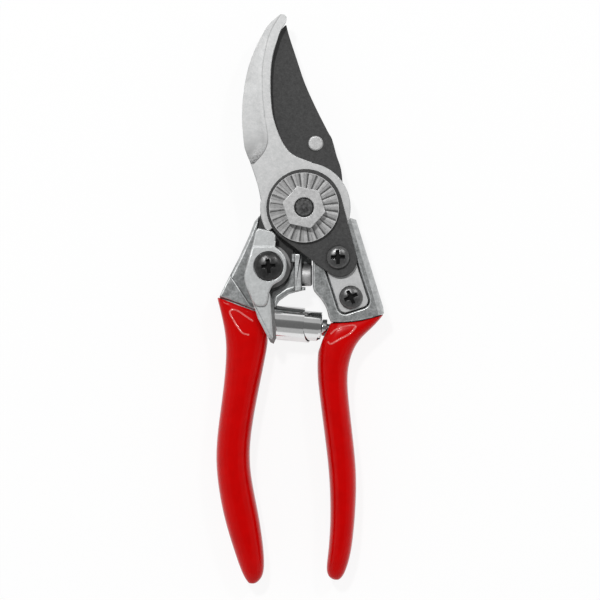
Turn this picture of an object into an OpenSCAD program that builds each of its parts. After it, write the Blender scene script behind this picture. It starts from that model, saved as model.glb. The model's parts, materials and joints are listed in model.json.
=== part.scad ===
// Bypass pruner, lying on its back with its handles closed.
// The pivot axis is Z, the jaws point along +Y and the handles along -Y.
// z = 0 is the flat back of the pivot bolt's head. All lengths are in millimetres.

/* [Pivot] */
// Diameter of the bolt's plain shank
bolt_d = 10; // [8:0.5:12]
// Width across the two flats that key the bolt in the hook
bolt_flats = 8.6; // [7.6:0.2:9.6]
// Diameter of the bolt's head
bolt_head_d = 17; // [15:0.5:20]
// Thickness of the bolt's head
bolt_head_t = 3; // [2:0.2:4]
// Diameter of the bolt's threaded end
thread_d = 7; // [5:0.5:7.5]
// Thickness of the washer under the bolt's head
thrust_washer_t = 0.8; // [0.5:0.1:1.5]
// Wall of the bearing sleeve on the bolt
bush_wall = 1; // [0.6:0.2:1.6]
// Width of the nut across its flats
nut_af = 14; // [12:0.5:16]
// Thickness of the nut
nut_t = 3.8; // [2.8:0.2:5]
// Direction of one corner of the nut
nut_turn = -12; // [-60:1:60]
// Diameter of the serrated washer
serrated_d = 25.7; // [20:0.1:27]
// Thickness of the serrated washer
serrated_t = 1.8; // [1.2:0.1:2.6]
// Number of serrations on the washer
serration_count = 24; // [12:1:36]
// Depth of each serration
serration_depth = 0.5; // [0.2:0.1:0.8]

/* [Lock plate] */
// Thickness of the lock plate
plate_t = 2; // [1.2:0.1:3]
// Radius of its round end, about the pivot
plate_r = 13.9; // [13.2:0.1:14.2]
// Radius of its lower end
plate_end_r = 6.3; // [5.4:0.1:6.6]

/* [Jaws] */
// Thickness of the cutting blade
blade_t = 3.2; // [2.4:0.1:4]
// Thickness of the hook
hook_t = 4.2; // [3.2:0.1:5]
// Clearance between the blade and the hook
jaw_gap = 0.1; // [0.05:0.05:0.3]
// Radius of the blade's round eye
blade_eye_r = 15.6; // [15:0.1:16.6]
// Radius of the blade's lower end, round the catch's screw
blade_end_r = 6; // [5.5:0.1:8]
// Radius of the hook's round eye
hook_eye_r = 16.7; // [16:0.1:17]
// Width of the ground bevel along the cutting edge
bevel_w = 5; // [3:0.5:7]
// Thickness left at the cutting edge
edge_t = 0.4; // [0.2:0.1:0.8]
// Depth of the hollow ground along the hook's outer side
scoop_depth = 1.5; // [0.5:0.1:2.2]
// Diameter of the rivet that holds the blade to its arm
rivet_d = 4; // [3:0.2:4.6]
// Diameter of the rivet's heads
rivet_head_d = 5.6; // [5:0.1:6.6]
// Height of the rivet's heads
rivet_head_t = 1; // [0.6:0.1:1.6]

/* [Tang and its screws] */
// Angle between the hook's tang and the -Y axis
tang_angle = 18; // [16:0.5:20]
// Width of the tang
tang_w = 11.2; // [10:0.1:12]
// Distance of the tang's centre line from the pivot
tang_offset = 6.4; // [5.6:0.1:7]
// Distance of the tang's end from the pivot, along the tang
tang_end = 41.6; // [40:0.1:43]
// Radius of the tang's corners
tang_corner_r = 2.4; // [1:0.1:4]
// Gap between the tang and its pocket in the handle
pocket_gap = 0.5; // [0.2:0.1:1]
// Distance of the lock plate's screw from the pivot, along the tang
plate_screw_u = 21.2; // [20.5:0.1:23]
// Distance of the tang's screw from the pivot, along the tang
tang_screw_u = 36.7; // [34:0.1:37]
// Thread diameter of both screws
screw_d = 4; // [3:0.5:5]
// Head diameter of both screws
screw_head_d = 8.6; // [7:0.1:9.4]
// Head height of both screws
screw_head_t = 2.4; // [1.8:0.1:3.2]
// How far both screws reach into the handle
screw_reach = 7; // [4:0.5:8]
// length of the screws' cross recess
cross_l = 5.2; // [4.6:0.1:6]
// width of the arms of the cross
cross_w = 1.3; // [1:0.1:1.6]

/* [Handles] */
// Height of the handles' heads above the resting plane
head_back = 2.6; // [1.5:0.1:3]
// Thickness of the left handle's eye
eye_t = 5.4; // [4.5:0.1:6.5]
// Radius of the left handle's eye
handle_eye_r = 15; // [13:0.1:16]
// Clearance between the right handle's head and the eyes
eye_clear = 0.5; // [0.3:0.1:1]
// Wall of the right handle outside the tang's pocket
outer_wall = 4.2; // [3:0.1:5]
// Width of the rim round the left handle's crotch
rim_w = 2.4; // [1.6:0.1:3]
// Width of the left handle's shoulder, from its outer edge towards the catch
shoulder_w = 6.5; // [5:0.1:7.5]
// Step from the grips' front down to the left handle's body
body_step = 2.4; // [1.6:0.1:2.5]
// Height of the rim round the left handle's crotch
crotch_top = 13; // [11:0.1:14]
// Thickness of the arm behind the blade that the rivet goes through
arm_t = 3; // [2:0.1:4]
// Width of that arm
arm_w = 9; // [8:0.1:11]
// Depth of the grips, front to back
grip_depth = 17.6; // [16.6:0.1:19]
// Wall of the grips
grip_wall = 1.2; // [0.8:0.1:1.8]
// Step from the sides of the handles' heads out to the grips
grip_proud = 0.4; // [0.2:0.1:0.6]

/* [Stop] */
// X of the wall on the right handle that the bumper meets
stop_wall_x = 3.3; // [2.6:0.1:3.6]
// Gap between the bumper and that wall with the jaws closed
stop_gap = 0.2; // [0.1:0.1:1]
// Diameter of the bumper
bumper_d = 8.2; // [7:0.1:9]
// Length of the bumper that shows
bumper_len = 3.9; // [3:0.1:4.4]
// Diameter of the bumper's stem
bumper_stem_d = 3.6; // [2.5:0.1:5]
// Thickness of the post that holds the bumper
post_w = 2.7; // [2.2:0.1:3.2]
// Height of the top of that post
post_top = 14; // [13.4:0.1:15]
// Length of the lip under the bumper
lip = 1.3; // [0.8:0.1:2]
// width of the low rib beside the bumper's post
side_rib_w = 1.2; // [0.8:0.1:1.4]
// length of the low rib
side_rib_l = 3.2; // [2:0.1:3.6]

/* [Catch] */
// Diameter of the screw that the catch turns on
latch_screw_d = 6; // [4.5:0.5:7]
// Diameter of that screw's head
latch_head_d = 10.6; // [9:0.1:11.4]
// Height of that screw's head
latch_head_t = 2.6; // [2:0.1:3.4]
// Depth that the screw's head sits in the catch
latch_sink = 0.8; // [0.4:0.1:1.2]
// Radius of the catch's hub
latch_hub_r = 6.8; // [6.4:0.1:7]
// Thickness of the catch's nose and tail
latch_t = 1.8; // [1.4:0.1:2.4]
// Height of the catch's hub and thumb pad above its nose
pad_t = 1.2; // [0.6:0.1:1.8]
// Clearance between the catch and the hook's front
latch_lift = 0.3; // [0.2:0.1:0.6]
// Diameter of the spring washer under the hub
latch_washer_d = 16.4; // [14:0.1:17]
// Thickness of that washer
latch_washer_t = 0.8; // [0.5:0.1:1.2]

/* [Spring] */
// Outer diameter of the spring's large end
spring_d = 13.1; // [12:0.1:13.4]
// Width of the strip that it is wound from
strip_w = 11.4; // [9.6:0.1:11.6]
// Thickness of that strip
strip_t = 0.4; // [0.3:0.05:0.45]
// Radial gap between neighbouring turns
turn_gap = 0.42; // [0.41:0.01:0.46]
// Number of turns
spring_turns = 4.5; // [3:0.25:4.5]
// Distance that the inner end of the strip stands out of the large end
spring_rise = 7.2; // [6:0.1:7.9]
// Number of turns over which the strip climbs
rise_turns = 1.5; // [1.4:0.1:3]
// Slope of the spring's axis from the X axis
spring_tilt = -5.2; // [-7:0.2:-3]
// Diameter of the studs' pegs and shanks
stud_d = 3; // [2:0.1:3.2]
// Diameter of the flange on the left stud
left_flange_d = 9; // [8:0.1:11]
// Diameter of the collar on the right stud
right_collar_d = 6.2; // [5.4:0.1:7]

/* [Fits] */
// Clearance all round a pin or screw in its hole
fit = 0.05; // [0.02:0.01:0.08]
// Clearance between faces that slide or that a screw draws together
face_gap = 0.1; // [0.05:0.05:0.2]

/* [Hidden] */
$fn = 64;
STEEL = "#cdcdcd";
DARK = "#3b3b3b";
ALUMINIUM = "#8f9191";
RED = "#c00a0a";
BLACK = "#1c1c1c";
CHROME = "#d8d8d8";
PALE = "#bdbfbf";
BRASS = "#a98a4b";
// overshoot of cuts past the faces that they open
past = 1;

// levels of the stack on the pivot, from the back
z_head = bolt_head_t;
z_eye = z_head + thrust_washer_t;
z_blade = z_eye + eye_t;
z_blade_front = z_blade + blade_t;
z_hook = z_blade_front + jaw_gap;
z_plate = z_hook + hook_t;
z_serrated = z_plate + plate_t;
z_nut = z_serrated + serrated_t;
z_top = z_nut + nut_t;
z_rim = z_plate - face_gap;
z_grip = grip_depth / 2;
body_top = grip_depth - body_step;

// catch: its axis, and the levels of its parts
latch_at = [-13.1, -21.6];
z_latch_hub = z_blade_front + latch_washer_t + face_gap;
z_latch = z_plate + latch_lift;
z_pad = z_latch + latch_t + pad_t;
z_latch_seat = z_pad - latch_sink;

rivet_at = [4.3, 23.9];
hook_shift = 0.5;
bush_r = bolt_d / 2 + fit + bush_wall;
head_clear_r = hook_eye_r + hook_shift + eye_clear;
post_x = stop_wall_x - stop_gap - bumper_len;
post_left = post_x - post_w;
bumper_y = -24.8;
z_bumper = z_grip;
post_end_y = -blade_eye_r - 1.3;

// spring: start of its axis, the radius of its strip and its length
spring_at = [-12, -42.5];
strip_r = spring_d / 2 - strip_t / 2;
turn_step = strip_t + turn_gap;
spring_len = strip_w + spring_rise;
stud_reach = 5;
flange_t = 0.7;
collar_t = 1.8;

// general shapes

function arc(c, r, a0, a1, n) = [for (i = [0:n]) let (a = a0 + (a1 - a0) * i / n) c + r * [cos(a), sin(a)]];
function reverse(list) = [for (i = [len(list) - 1:-1:0]) list[i]];

// point at share t of a smooth curve from b to c, with a and d as its neighbours
function curve_at(a, b, c, d, t) =
    (2 * b + (c - a) * t + (2 * a - 5 * b + 4 * c - d) * t * t + (3 * b - a - 3 * c + d) * t * t * t) / 2;
// smooth curve through points of any kind, with n steps between two of them
function curve(p, n) = let (last = len(p) - 1) concat(
    [for (i = [0:last - 1]) for (k = [0:n - 1])
        curve_at(p[max(i - 1, 0)], p[i], p[i + 1], p[min(i + 2, last)], k / n)],
    [p[last]]);

// outline round two circles, with straight sides between them
function belt(c1, r1, c2, r2) =
    let (d = c2 - c1, along = atan2(d[1], d[0]), lean = acos((r1 - r2) / norm(d)))
    concat(arc(c1, r1, along + lean, along + 360 - lean, 32), arc(c2, r2, along - lean, along + lean, 16));

// solid through a list of rings, all with as many points
module loft(rings) {
    n = len(rings);
    m = len(rings[0]);
    last = (n - 1) * m;
    sides = [for (i = [0:n - 2]) for (j = [0:m - 1])
        let (a = i * m + j, b = i * m + (j + 1) % m) each [[a, b + m, b], [a, a + m, b + m]]];
    start = [for (j = [1:m - 2]) [0, j, j + 1]];
    end = [for (j = [1:m - 2]) [last, last + j + 1, last + j]];
    polyhedron([for (r = rings) each r], concat(sides, start, end));
}

module slab(z0, z1, outline) {
    translate([0, 0, z0]) linear_extrude(z1 - z0) polygon(outline);
}

module rod(at, r, z0, z1) {
    translate([at[0], at[1], z0]) cylinder(r = r, h = z1 - z0);
}

// domed head with a cross recess on a plain shank, with its seat at z
module cross_screw(at, z, head_d, head_t, shank_d, z_end) {
    rise = 0.4 * head_t;
    recess = 0.6 * head_t;
    dome = [for (a = [0:15:90]) [head_d / 2 * cos(a), rise + (head_t - rise) * sin(a)]];
    translate([at[0], at[1], z]) difference() {
        union() {
            rotate_extrude() polygon(concat([[0, 0], [head_d / 2, 0]], dome));
            translate([0, 0, z_end - z]) cylinder(d = shank_d, h = z - z_end);
        }
        for (turn = [0, 90]) rotate(turn)
            translate([-cross_l / 2, -cross_w / 2, head_t - recess]) cube([cross_l, cross_w, head_t]);
        translate([0, 0, head_t - recess]) cylinder(d1 = cross_w, d2 = 2.6 * cross_w, h = recess + past);
    }
}

// grips and the handles' cores inside them
// a station is the left point, the right point, half the depth and how square the section is

half_depth = grip_depth / 2;
left_stations = [
    [-32.4, -33.3, -12.8, -40.6, half_depth - 1.5, 5],
    [-30.2, -41.5, -13.3, -46.5, half_depth - 0.6, 3.6],
    [-28.8, -52, -13.7, -52.5, half_depth - 0.3, 2.8],
    [-30, -67.5, -16.8, -67.5, half_depth, 2.5],
    [-32.3, -85, -19.8, -85, half_depth, 2.5],
    [-32.4, -98, -19.8, -98, half_depth, 2.5],
    [-30, -113, -16.9, -113, half_depth - 0.2, 2.5],
    [-26.2, -126, -15, -126, half_depth - 1.2, 2.4],
    [-23.4, -134, -14.8, -134, half_depth - 3, 2.2],
    [-21.6, -137.6, -16.2, -137.6, half_depth - 5.2, 2],
    [-20.2, -139.2, -18.2, -139.2, half_depth - 7.6, 2]];
right_stations = [
    [9.6, -42.2, 29.9, -38.9, half_depth - 1.5, 5],
    [7.9, -45.6, 25.4, -44, half_depth - 0.7, 3.6],
    [5.6, -50.5, 19.6, -50, half_depth - 0.5, 2.8],
    [4.9, -58, 16.6, -58, half_depth - 0.2, 2.5],
    [5.4, -67, 16.2, -67, half_depth, 2.5],
    [7.1, -80, 17.6, -80, half_depth, 2.5],
    [8.8, -94, 19.1, -94, half_depth, 2.5],
    [9.6, -105, 19.4, -105, half_depth - 0.1, 2.5],
    [9.7, -117, 18.7, -117, half_depth - 0.5, 2.5],
    [9, -127, 17.5, -127, half_depth - 1.6, 2.4],
    [8.3, -133.4, 15.8, -133.4, half_depth - 3.2, 2.2],
    [9.2, -136.6, 14.2, -136.6, half_depth - 5.4, 2],
    [11.2, -137.8, 12.8, -137.8, half_depth - 7.8, 2]];
ring_sides = 24;

function left_of(s) = [s[0], s[1]];
function right_of(s) = [s[2], s[3]];
// the same station with its section drawn in by w all round
function inset(s, w) =
    let (l = left_of(s), r = right_of(s), step = w * (r - l) / norm(r - l))
    concat(l + step, r - step, [s[4] - w, s[5]]);
function moved(s, by) = concat(left_of(s) + by, right_of(s) + by, [s[4], s[5]]);
function power(x, e) = sign(x) * pow(abs(x), 2 / e);
function ring(s) =
    let (l = left_of(s), r = right_of(s), mid = (l + r) / 2, half = (r - l) / 2)
    [for (j = [0:ring_sides - 1]) let (a = 360 * j / ring_sides, p = mid + half * power(cos(a), s[5]))
        [p[0], p[1], z_grip + s[4] * power(sin(a), s[5])]];
// stations without the closed end, drawn in by w
function core(stations, w) = [for (i = [0:len(stations) - 3]) inset(stations[i], w)];

module grip(stations) {
    inner = [for (s = curve(core(stations, grip_wall), 2)) ring(s)];
    outer = [for (s = curve(stations, 2)) ring(s)];
    loft(concat(reverse(inner), outer));
}

// the core starts inside the head, so that the two are one forging
root_depth = 3;
module handle_core(stations) {
    s = core(stations, grip_wall + fit);
    root = moved(inset(s[0], grip_wall), [0, root_depth]);
    loft([for (q = concat([root], curve(s, 2))) ring(q)]);
}

// the heads end on the grips' end planes
left_end = inset(left_stations[0], grip_proud);
right_end = inset(right_stations[0], grip_proud);

// places along the hook's tang: n across it and u along it, both from the pivot

function tang_pt(n, u) =
    [n * cos(tang_angle) + u * sin(tang_angle), n * sin(tang_angle) - u * cos(tang_angle)];
tang_lo = tang_offset - tang_w / 2;
tang_hi = tang_offset + tang_w / 2;
tang_root_u = 4;
plate_screw_at = tang_pt(tang_offset - 0.2, plate_screw_u);
tang_screw_at = tang_pt(tang_offset - 0.2, tang_screw_u);
plate_end_at = tang_pt(tang_offset + 0.2, plate_screw_u + 1.2);

// outline of the tang, grown by g all round
function tang_outline(g) =
    let (c = tang_corner_r, end = tang_end - c)
    [for (p = concat([[tang_lo - g, tang_root_u]], arc([tang_lo + c, end], c + g, 180, 90, 6),
        arc([tang_hi - c, end], c + g, 90, 0, 6), [[tang_hi + g, tang_root_u]])) tang_pt(p[0], p[1])];

// axis of the spring: children lie along local X from its large end

module on_spring() {
    translate([spring_at[0], spring_at[1], z_grip]) rotate(spring_tilt) children();
}

module along_spring(d, a0, a1) {
    on_spring() translate([a0, 0, 0]) rotate([0, 90, 0]) cylinder(d = d, h = a1 - a0);
}

left_flange_at = -face_gap - flange_t;
right_collar_at = spring_len + face_gap;

module left_stud_hole() {
    along_spring(stud_d + 2 * fit, left_flange_at - stud_reach, left_flange_at);
}

module right_stud_hole() {
    along_spring(stud_d + 2 * fit, right_collar_at, right_collar_at + collar_t + stud_reach);
    along_spring(right_collar_d + 2 * fit, right_collar_at - past, right_collar_at + collar_t);
}

// hollow in the crotch that clears the spring's large end and its flange
module spring_seat() {
    along_spring(spring_d + 2 * eye_clear, left_flange_at, spring_d);
}

// right handle, hook and what is fixed to them

outer_n = tang_hi + pocket_gap + outer_wall;
right_crotch = [[9.1, -40.2], [8.3, -37.2], [6.4, -33.9], [stop_wall_x + 0.6, -31], [stop_wall_x, -29]];
right_head = concat(
    [tang_pt(outer_n - 1.2, 8.2), tang_pt(outer_n, 11.5), tang_pt(outer_n - 0.2, 44)],
    [right_of(right_end), left_of(right_end)],
    curve(right_crotch, 3),
    [[stop_wall_x, -12]]);

module right_handle() {
    color(ALUMINIUM) difference() {
        union() {
            slab(head_back, z_rim, right_head);
            handle_core(right_stations);
        }
        rod([0, 0], head_clear_r, -past, z_plate + past);
        slab(z_hook, z_plate + past, tang_outline(pocket_gap));
        for (at = [plate_screw_at, tang_screw_at])
            rod(at, screw_d / 2 + fit, z_hook - screw_reach - face_gap, z_plate);
        right_stud_hole();
    }
}

module right_grip() {
    color(RED) difference() {
        grip(right_stations);
        right_stud_hole();
    }
}

hook_outer = [[-8.6, 71.4], [-12.6, 68.1], [-15.5, 63.6], [-19.6, 54.8], [-22, 45], [-22.9, 34],
    [-22.2, 23.7], [-21.2, 19.9], [-19.7, 16.2], [-17.2, 8.6], [-16, 3]];
hook_inner = [[3, 16.8], [-3.3, 19.2], [-6.8, 22.4], [-9.6, 28], [-11.6, 35], [-12.3, 44],
    [-12, 53], [-10.7, 59.2], [-8.8, 65.2], [-6.7, 68.6], [-6.4, 70.4]];
// inner limit of the hollow on the hook's face, one point for each of the first points of its outer edge
scoop_line = [[-8.5, 71.3], [-11.4, 66.6], [-13.2, 62.2], [-15, 53.5], [-15.3, 44], [-14.4, 34],
    [-13.2, 25.5], [-14.6, 20.6], [-18.6, 16]];
// the lower left of the hook's eye is cut back to the lock plate, up to the catch's nose
eye_cut_from = 213;
eye_cut_to = 330;

// the hollow slopes evenly from its inner limit to the hook's outer edge, and on past it;
// at its lower end it keeps its depth, so that it ends in a steep wall
scoop_w = norm(hook_outer[5] - scoop_line[5]);
scoop_past = 1.35;
scoop_stations = [for (i = [0:len(scoop_line) - 1])
    let (across = scoop_past * (hook_outer[i] - scoop_line[i]), share = i < 6 ? norm(across) / scoop_w : 1.5)
    concat(scoop_line[i], scoop_line[i] + across, [z_plate - scoop_depth * share])];

module hook_scoop() {
    loft([for (p = curve(scoop_stations, 4)) [
        [p[2], p[3], p[4]],
        [p[0], p[1], z_plate],
        [p[2], p[3], z_plate + past]]]);
}

module hook_blade() {
    jaw = concat(curve(hook_outer, 4), [[0, 0]], curve(hook_inner, 4), [[-7.3, 71.3]]);
    eye = concat(arc([hook_shift, 0], hook_eye_r, eye_cut_to - 360, eye_cut_from, 40),
        arc([0, 0], plate_r, eye_cut_from, eye_cut_to, 20));
    color(STEEL) difference() {
        union() {
            slab(z_hook, z_plate, jaw);
            slab(z_hook, z_plate, eye);
            slab(z_hook, z_plate, tang_outline(0));
        }
        hook_scoop();
        intersection() {
            rod([0, 0], bolt_d / 2 + fit, z_hook - past, z_plate + past);
            keyed(bolt_flats / 2 + fit, z_hook - past, z_plate + past);
        }
        for (at = [plate_screw_at, tang_screw_at])
            rod(at, screw_d / 2 + fit, z_hook - past, z_plate + past);
    }
}

// space between the two flats of the bolt's key
module keyed(half, z0, z1) {
    translate([-bolt_d, -half, z0]) cube([2 * bolt_d, 2 * half, z1 - z0]);
}

module lock_plate() {
    color(DARK) difference() {
        slab(z_plate, z_serrated, belt([0, 0], plate_r, plate_end_at, plate_end_r));
        rod([0, 0], thread_d / 2 + fit, z_plate - past, z_serrated + past);
        rod(plate_screw_at, screw_d / 2 + fit, z_plate - past, z_serrated + past);
    }
}

module serrated_washer() {
    groove = serration_depth * sqrt(2);
    rim = 0.5;
    groove_l = serrated_d / 2 - rim - nut_af / 2;
    color(PALE) difference() {
        rod([0, 0], serrated_d / 2, z_serrated, z_nut);
        rod([0, 0], thread_d / 2 + fit, z_serrated - past, z_nut + past);
        for (i = [0:serration_count - 1])
            rotate((i + 0.5) * 360 / serration_count)
                translate([nut_af / 2, 0, z_nut - serration_depth]) rotate([45, 0, 0])
                    cube([groove_l, groove * 2, groove * 2]);
    }
}

module pivot_nut() {
    corner_r = nut_af / sqrt(3);
    corner_cut = 0.3;
    color(PALE) difference() {
        intersection() {
            translate([0, 0, z_nut]) rotate(nut_turn) cylinder(r = corner_r, h = nut_t, $fn = 6);
            translate([0, 0, z_nut]) rotate_extrude() polygon([[0, 0], [corner_r + past, 0],
                [corner_r + past, nut_t - past * 0.6], [corner_r - corner_cut, nut_t], [0, nut_t]]);
        }
        rod([0, 0], thread_d / 2 + fit, z_nut - past, z_top + past);
    }
}

module pivot_bolt() {
    z_key = z_blade_front;
    z_shoulder = z_plate - face_gap;
    sink = 0.6;
    color(STEEL) union() {
        rotate_extrude() polygon([[0, 0], [bolt_head_d / 2 - sink, 0], [bolt_head_d / 2, sink],
            [bolt_head_d / 2, z_head], [0, z_head]]);
        rod([0, 0], bolt_d / 2, z_head - face_gap, z_key);
        intersection() {
            rod([0, 0], bolt_d / 2, z_key - face_gap, z_shoulder);
            keyed(bolt_flats / 2, z_key - face_gap, z_shoulder);
        }
        rod([0, 0], thread_d / 2, z_shoulder - face_gap, z_top - sink);
    }
}

module plate_screw() {
    color(DARK)
        cross_screw(plate_screw_at, z_serrated, screw_head_d, screw_head_t, screw_d, z_hook - screw_reach);
}

module tang_screw() {
    color(DARK)
        cross_screw(tang_screw_at, z_plate, screw_head_d, screw_head_t, screw_d, z_hook - screw_reach);
}

module right_spring_stud() {
    collar_end = right_collar_at + collar_t;
    color(CHROME) union() {
        along_spring(right_collar_d, right_collar_at, collar_end);
        along_spring(stud_d, right_collar_at - stud_reach, collar_end + stud_reach - face_gap);
    }
}

// left handle, cutting blade and what is fixed to them

left_edge = [[-13, -2.4], [-16.5, -2.9], [-18.3, -5], [-20.2, -10], [-24.2, -18.7], [-27.2, -24.6],
    [-30.9, -32]];
left_crotch = [[-11, -37.4], [-9.2, -34.4], [-5.5, -31.8], [post_x, -30.6]];
lip_y = bumper_y - bumper_d / 2 - 0.4;
crotch_in = [[0, 1], [-0.6, 0.8], [-0.5, 0.85], [0, 1]];

module left_handle() {
    inward = [0.91, -0.42];
    shoulder_line = [for (i = [1:6]) left_edge[i]];
    shoulder = concat(shoulder_line, reverse([for (p = shoulder_line) p + shoulder_w * inward]));
    body = [left_edge[5], left_edge[6], left_of(left_end), right_of(left_end),
        [-12.2, -38.6], [-19.6, -36]];
    web_x = stop_wall_x - 2 * stop_gap;
    web_y = bumper_y + bumper_d / 2 + 0.2;
    crotch_line = concat([right_of(left_end)], left_crotch);
    crotch_rim = concat(crotch_line,
        reverse([for (i = [0:len(left_crotch) - 1]) left_crotch[i] + rim_w * crotch_in[i]]));
    base = concat(left_edge, [left_of(left_end), right_of(left_end)], left_crotch,
        [[post_x, web_y], [web_x, web_y], [web_x, -8], [0, 0]]);
    ledge_y = bumper_y - bumper_d / 2 + 0.6;
    ledge = [[post_x - past, ledge_y], [web_x, ledge_y], [web_x, web_y + past], [post_x - past, web_y + past]];
    post = [[post_left, post_end_y], [post_left, -30.8], [post_x, -30.6], [post_x, post_end_y]];
    post_lip = [[post_x - past, -30.6], [post_x + lip, -30.4], [post_x + lip, lip_y], [post_x - past, lip_y]];
    side_rib = [[post_left + past, post_end_y], [post_left - side_rib_w, post_end_y],
        [post_left - side_rib_w, post_end_y - side_rib_l], [post_left + past, post_end_y - side_rib_l]];
    color(ALUMINIUM) difference() {
        union() {
            rod([0, 0], handle_eye_r, z_eye, z_blade);
            slab(z_eye, z_blade, base);
            difference() {
                slab(z_eye, z_hook - 2 * face_gap, shoulder);
                slab(z_blade, z_plate, blade_root(eye_clear));
            }
            slab(head_back, body_top, body);
            slab(z_eye, crotch_top, crotch_rim);
            slab(z_eye, z_bumper - bumper_d / 2 - 0.3, ledge);
            slab(z_eye, post_top, post);
            slab(z_eye, post_top - 1, post_lip);
            slab(z_blade_front + face_gap, post_top - 0.4, side_rib);
            slab(z_blade - arm_t, z_blade, belt([0, 0], handle_eye_r - past, rivet_at, arm_w / 2));
            handle_core(left_stations);
        }
        rod([0, 0], bush_r + fit, -past, z_plate);
        rod(latch_at, latch_screw_d / 2 + fit, -past, z_plate);
        rod(rivet_at, rivet_d / 2 + fit, -past, z_plate);
        bumper_hole();
        left_stud_hole();
        spring_seat();
    }
}

module bumper_hole() {
    translate([post_left - face_gap, bumper_y, z_bumper]) rotate([0, 90, 0])
        cylinder(d = bumper_stem_d + 2 * fit, h = post_w + face_gap + past);
}

module left_grip() {
    color(RED) difference() {
        grip(left_stations);
        left_stud_hole();
    }
}

blade_edge = [[-11.5, 11], [-12.9, 20], [-14, 30], [-14.9, 40], [-14.6, 50], [-12.8, 58.5],
    [-9.6, 64.6], [-7, 67.5]];
blade_spine = [[-6.5, 67.6], [-5.5, 63.6], [-2.6, 54.8], [0.4, 45.9], [4.4, 37], [8.9, 28.1],
    [10.4, 25.4], [12.1, 19.2], [13.7, 14.4], [14.4, 8]];

// the blade's round root, from the pivot to the catch's screw, grown by g all round
function blade_root(g) = belt([0, 0], blade_eye_r + g, latch_at, blade_end_r + g);

// wedge that grinds the bevel on the blade's back, from the edge inwards
module blade_bevel() {
    edge = curve(blade_edge, 3);
    last = len(edge) - 1;
    loft([for (i = [2:last])
        let (t = edge[min(i + 1, last)] - edge[max(i - 1, 0)], out = [-t[1], t[0]] / norm(t),
            outer = edge[i] + out, inner = edge[i] - out * bevel_w, drop = (blade_t - edge_t) / bevel_w)
        [[inner[0], inner[1], z_blade - 0.02], [outer[0], outer[1], z_blade - past],
            [outer[0], outer[1], z_blade + drop * (bevel_w + 1)]]]);
}

module cutting_blade() {
    shape = concat(curve(blade_edge, 3), curve(blade_spine, 3));
    color(DARK) difference() {
        union() {
            difference() {
                slab(z_blade, z_blade_front, shape);
                blade_bevel();
            }
            slab(z_blade, z_blade_front, blade_root(0));
        }
        translate([post_left - eye_clear, -3 * blade_eye_r, z_blade - past])
            cube([blade_eye_r, 2 * blade_eye_r, z_plate - z_blade]);
        rod([0, 0], bush_r + fit, z_blade - past, z_plate);
        rod(latch_at, latch_screw_d / 2 + fit, z_blade - past, z_plate);
        rod(rivet_at, rivet_d / 2 + fit, z_blade - past, z_plate);
    }
}

module blade_rivet() {
    z_back = z_blade - arm_t;
    r = rivet_head_d / 2;
    button = [[0, 0], [r, 0], [r, 0.4 * rivet_head_t], [r - 0.3, 0.7 * rivet_head_t], [0, 0.7 * rivet_head_t]];
    color(STEEL) union() {
        rod(rivet_at, rivet_d / 2, z_back - face_gap, z_blade_front + face_gap);
        translate([rivet_at[0], rivet_at[1], z_blade_front])
            rotate_extrude() polygon(button);
        translate([rivet_at[0], rivet_at[1], z_back]) mirror([0, 0, 1])
            rotate_extrude() polygon(button);
    }
}

module pivot_bush() {
    color(BRASS) difference() {
        rod([0, 0], bush_r, z_eye, z_blade_front);
        rod([0, 0], bolt_d / 2 + fit, z_eye - past, z_blade_front + past);
    }
}

module thrust_washer() {
    color(STEEL) difference() {
        rod([0, 0], bolt_head_d / 2 + 1, z_head, z_eye - fit);
        rod([0, 0], bolt_d / 2 + fit, z_head - past, z_eye + past);
    }
}

module stop_bumper() {
    r = bumper_d / 2;
    dome = 0.9;
    shell = [for (a = [0:15:90]) [r - dome + dome * cos(a), bumper_len - dome + dome * sin(a)]];
    color(CHROME) translate([post_x, bumper_y, z_bumper]) rotate([0, 90, 0]) union() {
        rotate_extrude() polygon(concat([[0, 0], [r, 0]], shell, [[0, bumper_len]]));
        translate([0, 0, -post_w]) cylinder(d = bumper_stem_d, h = post_w + face_gap);
    }
}

// catch

latch_nose = [[-19.2, -15], [-17.8, -8.6], [-16.8, -7.5], [-11.8, -8.7], [-10.4, -10], [-10.5, -12.4],
    [-10.9, -16]];
latch_hub_side = [[-10.4, -14.4], [-8, -16.4], [-6.5, -19.2], [-6.5, -23], [-8, -26.4], [-11.4, -28.6],
    [-12.8, -31.2]];
latch_tail = [[-11.1, -35.6], [-10.2, -48], [-11.2, -50.2], [-12.4, -49.6], [-17, -40.8], [-18.9, -35.2]];
latch_back = [[-21.4, -29], [-22, -25.2], [-20.7, -20], [-19.2, -14.4]];
pad_end = [[-13.4, -34.8], [-14.4, -36.4], [-17.4, -36.4], [-18.7, -35]];

module latch_lever() {
    outline = concat(curve(latch_hub_side, 3), latch_tail, curve(latch_back, 3));
    pad = concat(curve(latch_hub_side, 3), pad_end, curve(latch_back, 3));
    color(PALE) difference() {
        union() {
            slab(z_latch, z_latch + latch_t, latch_nose);
            slab(z_latch, z_latch + latch_t, outline);
            slab(z_latch, z_pad, pad);
            rod(latch_at, latch_hub_r - fit, z_latch_hub, z_pad);
        }
        rod(latch_at, latch_screw_d / 2 + fit, z_latch_hub - past, z_pad + past);
        rod(latch_at, latch_head_d / 2 + 2 * face_gap, z_latch_seat, z_pad + past);
    }
}

module latch_screw() {
    color(BLACK)
        cross_screw(latch_at, z_latch_seat + face_gap, latch_head_d, latch_head_t, latch_screw_d,
            z_eye + face_gap);
}

module latch_washer() {
    color(ALUMINIUM) difference() {
        rod(latch_at, latch_washer_d / 2, z_blade_front, z_blade_front + latch_washer_t);
        rod(latch_at, latch_screw_d / 2 + fit, z_blade, z_plate);
    }
}

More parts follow.
